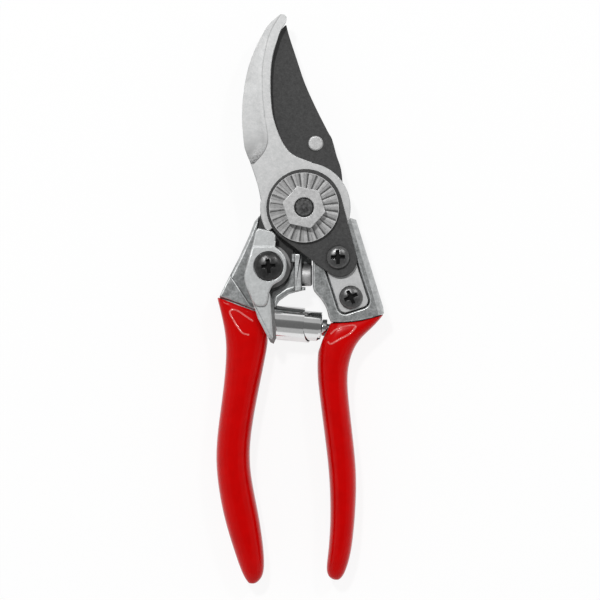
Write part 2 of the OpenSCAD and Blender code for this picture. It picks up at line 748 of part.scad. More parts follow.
module left_spring_stud() {
    flange_end = left_flange_at + flange_t;
    color(CHROME) union() {
        along_spring(left_flange_d, left_flange_at, flange_end);
        along_spring(stud_d, left_flange_at - stud_reach + face_gap, flange_end + stud_reach);
    }
}

// volute spring: a flat strip wound inwards as it goes along the axis

loop_rings = 24;
ring_count = floor(spring_turns * loop_rings);
function strip_radius(i) = strip_r - turn_step * i / loop_rings;
function strip_rise(i) = spring_rise * sin(90 * min(i / loop_rings / rise_turns, 1));
function strip_point(i, dr, along) =
    let (a = 360 * i / loop_rings, r = strip_radius(i) + dr)
    [strip_rise(i) + along, r * cos(a), r * sin(a)];
function strip_ring(i) = [
    strip_point(i, -strip_t / 2, 0),
    strip_point(i, -strip_t / 2, strip_w),
    strip_point(i, strip_t / 2, strip_w),
    strip_point(i, strip_t / 2, 0)];
// least distance from the inside of one turn to the outside of the next, on the points of both
function across(p) = [p[1], p[2]];
least_gap = min([for (i = [0:ring_count - loop_rings])
    norm(across(strip_ring(i)[0]) - across(strip_ring(i + loop_rings)[3]))]);
echo(str("least gap between the turns of the volute spring: ", least_gap, " mm"));

module volute_spring() {
    color(CHROME) on_spring() loft([for (i = [0:ring_count]) strip_ring(i)]);
}

right_handle();
right_grip();
hook_blade();
lock_plate();
serrated_washer();
pivot_nut();
pivot_bolt();
plate_screw();
tang_screw();
right_spring_stud();
left_handle();
left_grip();
cutting_blade();
blade_rivet();
pivot_bush();
thrust_washer();
stop_bumper();
latch_lever();
latch_screw();
latch_washer();
left_spring_stud();
volute_spring();
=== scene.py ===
"""Looks of a bypass pruner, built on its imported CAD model: finishes, rounded edges, light and camera."""

import json
import math

import bpy
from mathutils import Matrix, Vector
from mathutils.kdtree import KDTree
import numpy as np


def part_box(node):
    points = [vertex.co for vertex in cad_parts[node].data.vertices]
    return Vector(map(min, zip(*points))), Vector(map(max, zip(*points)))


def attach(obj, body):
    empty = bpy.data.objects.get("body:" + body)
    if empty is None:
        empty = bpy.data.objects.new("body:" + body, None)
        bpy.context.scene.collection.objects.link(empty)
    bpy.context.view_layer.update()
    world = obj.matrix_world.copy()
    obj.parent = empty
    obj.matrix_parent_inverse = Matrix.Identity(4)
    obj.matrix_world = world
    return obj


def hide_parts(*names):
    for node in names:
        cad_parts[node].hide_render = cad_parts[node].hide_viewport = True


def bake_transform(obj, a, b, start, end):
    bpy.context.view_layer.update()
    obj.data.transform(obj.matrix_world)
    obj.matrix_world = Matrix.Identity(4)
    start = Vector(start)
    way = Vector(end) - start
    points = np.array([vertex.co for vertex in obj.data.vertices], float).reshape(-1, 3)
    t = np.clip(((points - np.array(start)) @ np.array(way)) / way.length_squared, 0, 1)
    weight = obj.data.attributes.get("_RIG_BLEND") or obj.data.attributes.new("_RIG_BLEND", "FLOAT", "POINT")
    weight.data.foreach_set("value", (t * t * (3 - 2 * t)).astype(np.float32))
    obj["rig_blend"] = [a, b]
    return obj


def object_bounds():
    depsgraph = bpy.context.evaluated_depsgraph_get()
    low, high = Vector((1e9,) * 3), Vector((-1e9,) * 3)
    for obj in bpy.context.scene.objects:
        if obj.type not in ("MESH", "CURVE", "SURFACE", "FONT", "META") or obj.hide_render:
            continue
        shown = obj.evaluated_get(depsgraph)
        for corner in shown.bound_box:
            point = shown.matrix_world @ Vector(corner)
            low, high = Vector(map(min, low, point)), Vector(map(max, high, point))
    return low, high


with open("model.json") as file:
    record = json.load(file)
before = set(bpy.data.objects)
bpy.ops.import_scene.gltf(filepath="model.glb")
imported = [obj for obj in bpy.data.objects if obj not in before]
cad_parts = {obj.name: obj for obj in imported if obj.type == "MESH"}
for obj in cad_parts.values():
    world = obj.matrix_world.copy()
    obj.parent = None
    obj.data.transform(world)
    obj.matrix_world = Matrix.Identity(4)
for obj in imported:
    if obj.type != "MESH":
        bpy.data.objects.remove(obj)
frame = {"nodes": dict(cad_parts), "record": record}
cad_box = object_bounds()
bpy.ops.object.select_all(action="DESELECT")

MM = 0.001
record = frame["record"]
BODY_OF = {node: body for body, nodes in record["behaviour"]["bodies"].items() for node in nodes}
SLOT_OF = {part["node"]: part["material_slot"] for part in record["subparts"]}


def clamped(share):
    """A share, held between 0 and 1."""
    return min(max(share, 0), 1)


def outline_at(height_mm, *points_mm):
    """Points of an outline at one height."""
    return [Vector((x, y, height_mm)) * MM for x, y in points_mm]


# Photograph: its side and pivot in pixels, and the size of a pixel on the object

PHOTO_SIDE = 600
PIVOT_PIXEL = (304, 208)
PIXEL = 0.37 * MM
PHOTO_PLANE = 12 * MM


def photo_point(x, y):
    """Place on the object that a pixel of the photograph shows."""
    return Vector(((x - PIVOT_PIXEL[0]) * PIXEL, (PIVOT_PIXEL[1] - y) * PIXEL, 0))


PHOTO_MIDDLE = photo_point(PHOTO_SIDE / 2, PHOTO_SIDE / 2)


def make_camera():
    """Camera straight above, far off, so that the view is nearly flat."""
    lens = 250
    sensor = 36
    bpy.ops.object.camera_add()
    camera = bpy.context.object
    camera.data.lens = lens
    camera.data.sensor_width = sensor
    reach = PHOTO_SIDE * PIXEL * lens / sensor
    camera.location = PHOTO_MIDDLE + Vector((0, 0, PHOTO_PLANE + reach))
    bpy.context.scene.camera = camera


# Materials

def linear(colour):
    """Linear colour of an sRGB hex value."""
    parts = [int(colour[i:i + 2], 16) / 255 for i in (1, 3, 5)]
    return (*[c / 12.92 if c <= 0.04045 else ((c + 0.055) / 1.055) ** 2.4 for c in parts], 1)


def add_node(tree, kind, inputs=None, **settings):
    """New node with its settings; an input is a value or the socket that is linked to it."""
    made = tree.nodes.new(kind)
    for name, value in settings.items():
        setattr(made, name, value)
    for socket, value in (inputs or {}).items():
        if isinstance(value, bpy.types.NodeSocket):
            tree.links.new(value, made.inputs[socket])
        else:
            made.inputs[socket].default_value = value
    return made


def reckon(tree, operation, *values):
    """Socket with the result of a sum on values or sockets."""
    return add_node(tree, "ShaderNodeMath", dict(enumerate(values)), operation=operation).outputs[0]


def drift(tree, value, start, end, low=0, high=1):
    """Socket that goes from low to high as a value goes from start to end."""
    spans = {"Value": value, "From Min": start, "From Max": end, "To Min": low, "To Max": high}
    return add_node(tree, "ShaderNodeMapRange", spans).outputs["Result"]


def shaded(tree, value, stops, interpolation="LINEAR"):
    """Socket with the colour that a value takes between stops, each of them a place and a colour."""
    made = add_node(tree, "ShaderNodeValToRGB", {"Fac": value})
    made.color_ramp.interpolation = interpolation
    steps = made.color_ramp.elements
    for place, _ in stops[1:-1]:
        steps.new(place)
    for step, (place, colour) in zip(steps, stops):
        step.position = place
        step.color = colour
    return made.outputs["Color"]


def noise(tree, place, size_mm, detail):
    """Socket with a noise whose features are that wide."""
    inputs = {"Vector": place, "Scale": 1 / (size_mm * MM), "Detail": detail}
    return add_node(tree, "ShaderNodeTexNoise", inputs).outputs["Fac"]


def place_on_piece(tree):
    """Socket with the place of a point on its piece."""
    return add_node(tree, "ShaderNodeTexCoord").outputs["Object"]


def speckled(name, low, high, coarse_mm, fine_mm, relief_mm=0, **finish):
    """Material whose tone drifts between two colours, in coarse clouds and fine grains.

    The grains stand out by the relief. The finish is the shader's plain values, by their names.
    """
    material = bpy.data.materials.new(name)
    material.use_nodes = True
    tree = material.node_tree
    shader = tree.nodes["Principled BSDF"]
    place = place_on_piece(tree)
    cloud = noise(tree, place, coarse_mm, 4)
    grain = noise(tree, place, fine_mm, 2)
    both = add_node(tree, "ShaderNodeMix", {0: 0.5, 2: cloud, 3: grain}).outputs[0]
    tone = shaded(tree, both, ((0.35, linear(low)), (0.65, linear(high))))
    tree.links.new(tone, shader.inputs["Base Color"])
    if relief_mm:
        relief = add_node(tree, "ShaderNodeBump",
                          {"Height": both, "Strength": 0.4, "Distance": relief_mm * MM})
        tree.links.new(relief.outputs["Normal"], shader.inputs["Normal"])
    for socket, value in finish.items():
        shader.inputs[socket.replace("_", " ")].default_value = value
    return material


# Aluminium forging, tumbled in stone: mid grey, softly mottled, with a fine dull grain
FORGED = speckled("forged_aluminium_tumbled", "#686a6a", "#989a9a", 2.4, 0.7, 0.14,
                  Metallic=0.85, Roughness=0.5)
# The same forging on its edges: paler and smoother, partly rubbed by tumbling and partly a painted highlight
RUBBED_AND_HIGHLIT = speckled("forged_aluminium_rubbed_and_highlit_edge", "#a0a2a2", "#c6c8c8", 2, 0.7, 0.1,
                  Metallic=0.85, Roughness=0.42)
# Die-cast zinc, tumbled: pale and smooth, with soft cloudy spots
CASTING = speckled("zinc_casting_tumbled", "#a8aaaa", "#bcbebe", 1.8, 0.7, 0.08,
                   Metallic=0.9, Roughness=0.5)
# The casting on its edges: paler still, partly rubbed by the thumb and partly a painted highlight
RUBBED_AND_HIGHLIT_CASTING = speckled("zinc_casting_rubbed_and_highlit_edge", "#b6b8b8", "#cacccc", 2, 0.7, 0.06,
                          Metallic=0.9, Roughness=0.4)
# The casting painted darker as shade, for the bevelled side of the catch's tail: grey and dull
SHADED_CASTING = speckled("zinc_casting_painted_shade", "#707272", "#8e9090", 1.8, 0.7, 0.1,
                   Metallic=0.8, Roughness=0.6)
# Plastisol dip: saturated red skin with a soft shine
VINYL = speckled("plastisol_dipped_red", "#b60202", "#c00303", 9, 3, 0.06, Roughness=0.2, IOR=1.5,
                 Specular_IOR_Level=0.1)
# The crests on the dip: paler red painted on as a highlight, with a sharper shine
HIGHLIGHT_VINYL = speckled("plastisol_dipped_red_painted_highlight", "#c84a46", "#dc7470", 2.5, 0.8,
                       Roughness=0.12, IOR=1.5)
# Carbon steel, ground and glass beaded: light grey and even, with a faint grain
SATIN = speckled("carbon_steel_beaded", "#b0b1b1", "#c0c0c0", 1.6, 0.5, 0.05, Metallic=1, Roughness=0.52)
# Baked fluoropolymer coat on steel: charcoal and matt, with fine pale specks
COATING = speckled("fluoropolymer_coating_charcoal", "#2f2f2f", "#424242", 1.2, 0.5, 0.04,
                   Roughness=0.6, IOR=1.38)
# Zinc plate on tumbled steel: pale grey, slightly grainy
PLATED = speckled("zinc_plated_steel", "#a2a2a2", "#bebebe", 1.6, 0.5, 0.06, Metallic=1, Roughness=0.45)
# Bar steel, turned: mid grey and even
TURNED = speckled("turned_bar_steel", "#8c8c8c", "#a2a2a2", 3, 0.4, 0.03, Metallic=1, Roughness=0.35)
# Bolt steel: dark grey and dull, slightly blotched
DARK_BOLT_STEEL = speckled("dark_grey_bolt_steel", "#2c2c2c", "#5c5c5c", 1.8, 0.9, 0.08,
                     Metallic=0.7, Roughness=0.5)
# Blackened and oiled screw steel: nearly black, with small bright reflections on its dome
BLACK_OXIDE = speckled("black_oxide_steel", "#2c2c2c", "#444444", 2, 0.9,
                       Metallic=0.7, Roughness=0.3)
# Screws whose blacking has worn to grey
WORN_OXIDE = speckled("black_oxide_steel_worn", "#4e4e4e", "#686868", 2, 0.7, 0.05,
                      Metallic=0.85, Roughness=0.32)
# Painted shade at the bottom of a screw's recess: black and dull
RECESS_SHADE = speckled("screw_recess_painted_shade", "#060606", "#121212", 1.2, 0.6,
                  Roughness=0.7, Specular_IOR_Level=0.2)
# Nickel-chrome plate on spring strip: a mirror
CHROME = speckled("chrome_plated_strip", "#e2e2e2", "#eaeaea", 3, 0.8, Metallic=1, Roughness=0.09)
# Drawn steel cap with nickel plate, dulled by knocks: bright, with a soft sheen
NICKEL = speckled("nickel_plated_cap", "#aeaeae", "#cacaca", 1.4, 0.6, 0.08, Metallic=1, Roughness=0.58)
# Drawn brass tube: yellow, dulled by grease
BRASS = speckled("drawn_brass", "#a98848", "#bd9a57", 1.5, 0.6, Metallic=1, Roughness=0.35)


def toned(material, share, colour, blend="MIX"):
    """Mixes a second colour over a material's own, by a share that is a socket."""
    tree = material.node_tree
    shader = tree.nodes["Principled BSDF"]
    own = shader.inputs["Base Color"].links[0].from_socket
    both = add_node(tree, "ShaderNodeMix", {0: share, 6: own, 7: colour},
                    data_type="RGBA", blend_type=blend)
    tree.links.new(both.outputs[2], shader.inputs["Base Color"])


def hollowed_steel():
    """The beaded steel in the hook's hollow.

    A fine line of painted shade follows its limit, as in a crease, and painted shade darkens its lower end
    by the wall, where the wheel ran out.
    """
    material = speckled("carbon_steel_hollow", "#b0b1b1", "#c0c0c0", 1.6, 0.5, 0.05,
                        Metallic=1, Roughness=0.52)
    tree = material.node_tree
    place = place_on_piece(tree)
    off_limit = add_node(tree, "ShaderNodeAttribute", attribute_name="off_limit").outputs["Fac"]
    # painted shade: a fine dark line along the hollow's limit, as in a crease
    line = drift(tree, off_limit, 0.5 * MM, 0.1 * MM, 0, 0.5)
    toned(material, line, linear("#707070"))
    height = add_node(tree, "ShaderNodeSeparateXYZ", {0: place}).outputs["Y"]
    # painted shade that darkens the hollow's lower end, near its wall
    low_end = drift(tree, height, 29 * MM, 18 * MM)
    at_wall = drift(tree, off_limit, 7 * MM, 1 * MM, 0.5, 1)
    patchy = drift(tree, noise(tree, place, 0.5, 2), 0.3, 0.7, 0.6, 1)
    end_shade = reckon(tree, "MULTIPLY", reckon(tree, "MULTIPLY", low_end, at_wall), patchy)
    toned(material, end_shade, linear("#484848"))
    return material


TOOTH_STEP = math.radians(15)
TOOTH_REACH = 12.7 * MM
# how bright a tooth is painted from one groove to the next: painted shade falls off to a groove, as if its
# faces sloped from the light, with a score half-way
TOOTH_SHADE = ((0, "#7c7c7c"), (0.05, "#868686"), (0.13, "#bababa"), (0.42, "#d4d4d4"),
               (0.49, "#aeaeae"), (0.56, "#d8d8d8"), (0.84, "#eeeeee"), (0.94, "#9c9c9c"), (1, "#7c7c7c"))


def serrated_plate():
    """The dull zinc plate of the toothed washer, with painted shade that darkens it towards its grooves."""
    material = speckled("zinc_plated_steel_serrated", "#b0b0b0", "#cacaca", 1.6, 0.5, 0.06,
                        Metallic=1, Roughness=0.6)
    tree = material.node_tree
    place = place_on_piece(tree)
    spot = add_node(tree, "ShaderNodeSeparateXYZ", {0: place}).outputs
    turn = reckon(tree, "ARCTAN2", spot["Y"], spot["X"])
    scores = add_node(tree, "ShaderNodeTexNoise", {"W": turn, "Scale": 6, "Detail": 5},
                      noise_dimensions="1D").outputs["Fac"]
    waver = drift(tree, scores, 0.3, 0.7, 0.4, 0.6)
    tooth = reckon(tree, "FRACT", reckon(tree, "MULTIPLY_ADD", turn, 1 / TOOTH_STEP, waver))
    shade = shaded(tree, tooth, [(share, linear(colour)) for share, colour in TOOTH_SHADE])
    flat = add_node(tree, "ShaderNodeVectorMath", {0: place, 1: (1, 1, 0)}, operation="MULTIPLY")
    out = add_node(tree, "ShaderNodeVectorMath", {0: flat.outputs[0]}, operation="LENGTH")
    inside = reckon(tree, "LESS_THAN", out.outputs["Value"], TOOTH_REACH)
    # painted shade of the teeth and grooves, multiplied over the plate within the grooves' reach
    toned(material, inside, shade, "MULTIPLY")
    return material


FINISH = {
    "cast_handle": FORGED,
    "dipped_grip": VINYL,
    "plain_steel": SATIN,
    "coated_steel": COATING,
    "bright_hardware": PLATED,
    "bolt_steel": TURNED,
    "black_screw": WORN_OXIDE,
    "cast_latch": CASTING,
    "spring_chrome": CHROME,
    "bumper_steel": NICKEL,
    "bush_brass": BRASS,
}

# Nodes whose finish differs from the others in their slot
OWN_FINISH = {
    "latch_screw": BLACK_OXIDE,
    "pivot_bolt": DARK_BOLT_STEEL,
    "serrated_washer": serrated_plate(),
}


# Shaping: what the pieces share

# points this close lie on the same spot, line or level
NEAR = 0.05 * MM


def copy_of(node, *more):
    """Copy of a CAD node as a new piece in its finish, merged and with its flat faces made whole.

    The faces of later roundings take the further materials by their number.
    """
    piece = bpy.data.objects.new(node + "_finished", frame["nodes"][node].data.copy())
    bpy.context.collection.objects.link(piece)
    work_on(piece)
    bpy.ops.mesh.customdata_custom_splitnormals_clear()
    bpy.ops.object.mode_set(mode="EDIT")
    bpy.ops.mesh.select_all(action="SELECT")
    bpy.ops.mesh.remove_doubles(threshold=0.002 * MM)
    bpy.ops.mesh.dissolve_limited(angle_limit=math.radians(0.5))
    bpy.ops.object.mode_set(mode="OBJECT")
    piece.data.materials.clear()
    for material in (OWN_FINISH.get(node, FINISH[SLOT_OF[node]]), *more):
        piece.data.materials.append(material)
    return piece


def work_on(piece):
    """Selects that piece alone."""
    bpy.ops.object.select_all(action="DESELECT")
    piece.select_set(True)
    bpy.context.view_layer.objects.active = piece


def apply(piece, kind, **settings):
    """Adds a modifier and applies it at once."""
    work_on(piece)
    modifier = piece.modifiers.new(kind.lower(), kind)
    for name, value in settings.items():
        setattr(modifier, name, value)
    bpy.ops.object.modifier_apply(modifier=modifier.name)


def wear_edges(piece, width_mm, angle, **settings):
    """Rounds every edge that is sharper than an angle in degrees."""
    apply(piece, "BEVEL", width=width_mm * MM, segments=2, limit_method="ANGLE",
          angle_limit=math.radians(angle), **settings)


def to_quads():
    """Joins the triangles of the piece in edit mode in pairs."""
    bpy.ops.mesh.select_all(action="SELECT")
    bpy.ops.mesh.tris_convert_to_quads(face_threshold=math.radians(60), shape_threshold=math.radians(60))


def settle(piece, node, angle=38):
    """Shades a piece, hides the CAD node that it stands for, and gives it that node's body unless it bends
    between two.
    """
    work_on(piece)
    bpy.ops.object.shade_smooth_by_angle(angle=math.radians(angle))
    apply(piece, "WEIGHTED_NORMAL", keep_sharp=True, weight=60)
    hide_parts(node)
    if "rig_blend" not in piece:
        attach(piece, BODY_OF[node])


def pick(piece, kind, wanted):
    """Goes into edit mode with those vertices, edges or faces selected that pass the test."""
    bpy.ops.object.mode_set(mode="EDIT")
    bpy.ops.mesh.select_mode(type=kind)
    bpy.ops.mesh.select_all(action="DESELECT")
    bpy.ops.object.mode_set(mode="OBJECT")
    mesh = piece.data
    for item in {"VERT": mesh.vertices, "EDGE": mesh.edges, "FACE": mesh.polygons}[kind]:
        item.select = wanted(item)
    bpy.ops.object.mode_set(mode="EDIT")


def ends(piece, edge):
    """The two end points of an edge."""
    return [piece.data.vertices[i].co for i in edge.vertices]


def pick_edges(piece, inside):
    """Picks the edges of which both ends pass the test."""
    pick(piece, "EDGE", lambda edge: all(map(inside, ends(piece, edge))))


def round_picked(width_mm, segments, slot=-1):
    """Rounds the selected edges and leaves edit mode."""
    bpy.ops.mesh.bevel(offset=width_mm * MM, segments=segments, profile=0.5, affect="EDGES",
                       clamp_overlap=False, material=slot)
    bpy.ops.object.mode_set(mode="OBJECT")


def round_rim(piece, height, width_mm, segments=3, slot=-1, inside=lambda point: True, facing=1):
    """Rounds the outline of the flat faces at a height that face up (1) or down (-1), where they end."""
    flat = set()
    falling = set()
    for face in piece.data.polygons:
        if face.normal.z * facing > 0.99 and abs(face.center.z - height) < 0.03 * MM:
            flat.update(face.edge_keys)
        elif face.normal.z * facing < 0.9 and (height - face.center.z) * facing > 0:
            falling.update(face.edge_keys)
    rim = flat & falling
    pick(piece, "EDGE", lambda edge: edge.key in rim and all(map(inside, ends(piece, edge))))
    round_picked(width_mm, segments, slot)


def smooth_path(points, steps=30):
    """Search tree of the points, close together, of a smooth curve through the given ones."""
    path = [points[0] * 2 - points[1], *points, points[-1] * 2 - points[-2]]
    tree = KDTree(steps * (len(points) - 1) + 1)
    tree.insert(points[-1], 0)
    for a, b, c, d in zip(path, path[1:], path[2:], path[3:]):
        for i in range(steps):
            t = i / steps
            tree.insert(b + (c - a) * t / 2 + (a * 2 - b * 5 + c * 4 - d) * t * t / 2
                        + (b * 3 - a - c * 3 + d) * t ** 3 / 2, 0)
    tree.balance()
    return tree


def off_path(path, point):
    """Distance of a point from a path, seen from above."""
    return path.find((point.x, point.y, 0))[2]


def top_of(node):
    """Height of a node's top."""
    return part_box(node)[1].z


def middle_of(node):
    """Middle of the box round a node."""
    low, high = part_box(node)
    return (low + high) / 2


# Pieces that are their CAD solids with every edge worn: the radius in millimetres

WORN_EDGE = {
    "right_spring_stud": 0.25,
    "cutting_blade": 0.12,
    "pivot_bush": 0.15,
    "thrust_washer": 0.15,
    "stop_bumper": 0.2,
    "latch_washer": 0.15,
    "left_spring_stud": 0.15,
}


def make_worn(node):
    """Piece with every edge worn."""
    piece = copy_of(node)
    wear_edges(piece, WORN_EDGE[node], 32, miter_outer="MITER_ARC")
    settle(piece, node)


def make_rimmed(node, width_mm):
    """Piece of which only the rims round its flat top are worn."""
    piece = copy_of(node)
    round_rim(piece, top_of(node), width_mm)
    settle(piece, node)


# Handles: the lines on which their heads meet the grips, and the direction of the tang

GRIP_END = {"left": (Vector((-32.4, -33.3)) * MM, Vector((-12.8, -40.6)) * MM),
            "right": (Vector((9.6, -42.2)) * MM, Vector((29.9, -38.9)) * MM)}
TANG_ANGLE = math.radians(18)


def past_end(side, point):
    """Distance of a point past the line on which that side's grip starts."""
    left, right = GRIP_END[side]
    along = (right - left).normalized()
    return (point.x - left.x) * along.y - (point.y - left.y) * along.x


def on_end(side, point):
    """Whether a point lies on the line on which that side's grip starts."""
    return abs(past_end(side, point)) < NEAR


def end_shift(side, point):
    """How far the dip's end lies off its straight line: raised on the left, sagging on the right."""
    if side == "left":
        return 0.7 * MM
    left, right = GRIP_END[side]
    share = (point.x - left.x) / (right.x - left.x)
    return -1.2 * MM * math.sin(math.pi * clamped(share))


def across_tang(point):
    """Distance of a point from the pivot, square to the hook's tang."""
    return point.x * math.cos(TANG_ANGLE) + point.y * math.sin(TANG_ANGLE)


# Upper end of the right handle: where it starts, its outer corner, its top, its flank's radius, its back
HEAD_START = Vector((15, -7.5)) * MM
HEAD_CORNER = Vector((19.25, -4.45)) * MM
HEAD_TOP = -3.75 * MM
HEAD_FLANK = 17.3 * MM
HEAD_BACK = 2.6 * MM


def blunt_head(spot):
    """Moves a point of the right handle's upper end, which ends bluntly, close beside the hook."""
    off_pivot = spot.xy.length
    if off_pivot < HEAD_FLANK + 1 * MM:
        spot.xy *= HEAD_FLANK / off_pivot
        spot.y = min(spot.y, HEAD_TOP)
    else:
        spot.xy = HEAD_CORNER


def make_right_handle(node):
    """Forging with a broad round rim outside the tang; its end follows the grip's."""
    piece = copy_of(node, RUBBED_AND_HIGHLIT)
    top = top_of(node)
    pick_edges(piece, lambda p: on_end("right", p))
    bpy.ops.mesh.subdivide(number_cuts=9)
    bpy.ops.object.mode_set(mode="OBJECT")
    for vertex in piece.data.vertices:
        if on_end("right", vertex.co):
            vertex.co.y += end_shift("right", vertex.co)
        if vertex.co.x > HEAD_START.x and vertex.co.y > HEAD_START.y:
            blunt_head(vertex.co)
    # the rims take the paler edge finish: partly rubbed wear, partly painted highlight
    round_rim(piece, top, 2.4, 8, 1, lambda p: across_tang(p) > 15.2 * MM)
    round_rim(piece, top, 0.6, 3, 1, lambda p: across_tang(p) < 13.5 * MM)
    round_rim(piece, HEAD_BACK, 1, 4, 1, facing=-1)
    settle(piece, node)


# Left handle: its levels, the left edge of the bumper's post, and that post's upper corner
BODY_TOP = 15.2 * MM
POST_TOP = 14 * MM
SIDE_RIB_TOP = 13.6 * MM
CROTCH_TOP = 13 * MM
SHOULDER_TOP = 12.3 * MM
POST_LEFT = -3.4 * MM
POST_CORNER = Vector((-0.8, -16.9)) * MM
# the floors between the catch and the bumper's post, and between the catch and the shoulder
POST_FLOOR = outline_at(
    9.1, (-3.45, -21.5), (-4.9, -24.4), (-5.7, -26.8), (-7.2, -29), (-9.8, -30.5), (-11.5, -31),
    (-12, -34), (-11, -35.2), (-9.5, -33.3), (-6, -30.8), (-3.45, -29.8))
SHOULDER_FLOOR = outline_at(
    9.1, (-23.8, -28.2), (-20.2, -28.2), (-18.6, -31), (-17.5, -35), (-19.5, -36.2), (-21.5, -34.5),
    (-24.5, -30.8))


def outside_shoulder(point):
    """Distance of a point outside the left handle's straight edge."""
    start = Vector((-20.2, -10, 0)) * MM
    out = Vector((-22, 10.7, 0)).normalized()
    return (point - start).dot(out)


def fill_floor(piece, outline, top):
    """Joins a raised floor to a piece: an outline, drawn up to a height."""
    bpy.ops.mesh.primitive_circle_add(vertices=len(outline), fill_type="NGON")
    floor = bpy.context.object
    for vertex, spot in zip(floor.data.vertices, outline):
        vertex.co = spot
    bpy.ops.object.mode_set(mode="EDIT")
    bpy.ops.mesh.select_all(action="SELECT")
    bpy.ops.mesh.extrude_region_move(TRANSFORM_OT_translate={"value": (0, 0, top - outline[0].z)})
    bpy.ops.mesh.select_all(action="SELECT")
    bpy.ops.mesh.normals_make_consistent(inside=False)
    bpy.ops.object.mode_set(mode="OBJECT")
    apply(piece, "BOOLEAN", operation="UNION", solver="EXACT", object=floor)
    bpy.data.objects.remove(floor)


def make_left_handle(node):
    """Forging with paler edges, partly rubbed and partly a painted highlight, and round ribs beside the
    bumper.
    """
    piece = copy_of(node, RUBBED_AND_HIGHLIT)
    fill_floor(piece, POST_FLOOR, CROTCH_TOP - 0.4 * MM)
    fill_floor(piece, SHOULDER_FLOOR, SHOULDER_TOP - 0.1 * MM)
    for vertex in piece.data.vertices:
        if on_end("left", vertex.co):
            vertex.co.y += end_shift("left", vertex.co)
            vertex.co.x = max(vertex.co.x, -31.2 * MM)
    # the rims take the paler edge finish: partly rubbed wear, partly painted highlight
    round_rim(piece, BODY_TOP, 0.6, 3, 1)
    pick_edges(piece, lambda p: (p.xy - POST_CORNER).length < NEAR)
    round_picked(1, 4)
    round_rim(piece, POST_TOP, 0.35, 3, 1, lambda p: p.x < POST_LEFT)
    round_rim(piece, POST_TOP, 0.7, 4, 1, lambda p: p.x > POST_LEFT)
    round_rim(piece, SIDE_RIB_TOP, 0.5, 3, 1)
    # the top of the bumper's post takes the paler edge finish: partly rubbed wear, partly painted highlight
    for face in piece.data.polygons:
        on_post = face.center.z > SIDE_RIB_TOP - 0.1 * MM and -5 * MM < face.center.x < 0
        if on_post and face.normal.z > 0.9:
            face.material_index = 1
    round_rim(piece, CROTCH_TOP, 0.6, 3, 1)
    round_rim(piece, SHOULDER_TOP, 1.2, 4, 1, lambda p: outside_shoulder(p) > -1 * MM)
    settle(piece, node)


# Catch: how far its plate lies below its pad, the hub round its screw, and where its tail starts

PAD_RISE = 1.2 * MM
HUB_R = 6 * MM
TAIL_START = -33 * MM
TAIL_LEFT = -12.6 * MM


def make_catch(node):
    """Casting with paler edges, partly rubbed and partly a painted highlight, and a bevelled side along its
    tail, painted darker as shade.
    """
    piece = copy_of(node, RUBBED_AND_HIGHLIT_CASTING, SHADED_CASTING)
    pad_top = top_of(node)
    plate_top = pad_top - PAD_RISE
    screw = middle_of("latch_screw")

    def on_pad_end(a, b):
        upright = abs(a.z - b.z) > 1 * MM and (a - b).xy.length < 0.01 * MM
        return upright and min(a.z, b.z) > plate_top - NEAR and a.y < TAIL_START

    def at_screw(point):
        return (point - screw).xy.length < HUB_R

    pick(piece, "EDGE", lambda edge: on_pad_end(*ends(piece, edge)))
    round_picked(0.9, 4)
    # the rims take the paler edge finish: partly rubbed wear, partly painted highlight
    round_rim(piece, pad_top, 0.15, 2, 1, at_screw)
    round_rim(piece, pad_top, 0.6, 4, 1, lambda p: not at_screw(p))
    # the tail's bevelled side takes the darker casting: painted shade
    round_rim(piece, plate_top, 1.5, 1, 2, lambda p: p.x > TAIL_LEFT and p.y < TAIL_START)
    round_rim(piece, plate_top, 0.45, 3, 1)
    settle(piece, node)


# Hook: the inner limit of the hollow on its face, and the hollow's depth

HOLLOW_LIMIT = outline_at(
    0, (-8.5, 71.3), (-11.4, 66.6), (-13.2, 62.2), (-15, 53.5), (-15.3, 44), (-14.4, 34), (-13.2, 25.5),
    (-14.6, 20.6), (-18.6, 16))
HOLLOW_DEPTH = 0.75 * MM


def hollow_at(y_mm, off_limit):
    """Depth of the hollow: its wall gets wider towards the tip, where the hollow runs out."""
    wall = 4 + 4 * clamped((y_mm - 24) / 18)
    share = min(off_limit / (wall * MM), 1)
    fade = clamped((66 - y_mm) / 20)
    return HOLLOW_DEPTH * fade * (1 - (1 - share) ** 2)


def make_hook(node):
    """Beaded steel with a hollow, that ends below in a round wall."""
    piece = copy_of(node, hollowed_steel())
    top = top_of(node)
    limit = smooth_path(HOLLOW_LIMIT)
    pick(piece, "FACE", lambda face: 0.4 < face.normal.z < 0.9995 and face.center.z < top - 0.01 * MM
         and face.center.y > 15 * MM and face.center.x < -8 * MM)
    bpy.ops.mesh.quads_convert_to_tris()
    bpy.ops.mesh.subdivide(number_cuts=4)
    bpy.ops.object.mode_set(mode="OBJECT")
    hollow = set()
    for face in piece.data.polygons:
        if face.select:
            face.material_index = 1
            hollow.update(face.vertices)
    off_limit = piece.data.attributes.new("off_limit", "FLOAT", "POINT").data
    for index in hollow:
        spot = piece.data.vertices[index].co
        off_limit[index].value = off_path(limit, spot)
        spot.z = top - hollow_at(spot.y / MM, off_limit[index].value)
    round_rim(piece, top, 0.3, 3, -1, lambda p: p.y < 60 * MM and off_path(limit, p) > 0.6 * MM)
    settle(piece, node)


# Screws: how far each one's cross is turned, in degrees, and the radius within which it lies

CROSS_TURN = {"plate_screw": 2, "tang_screw": 25, "latch_screw": 6}
CROSS_R = 2.8 * MM


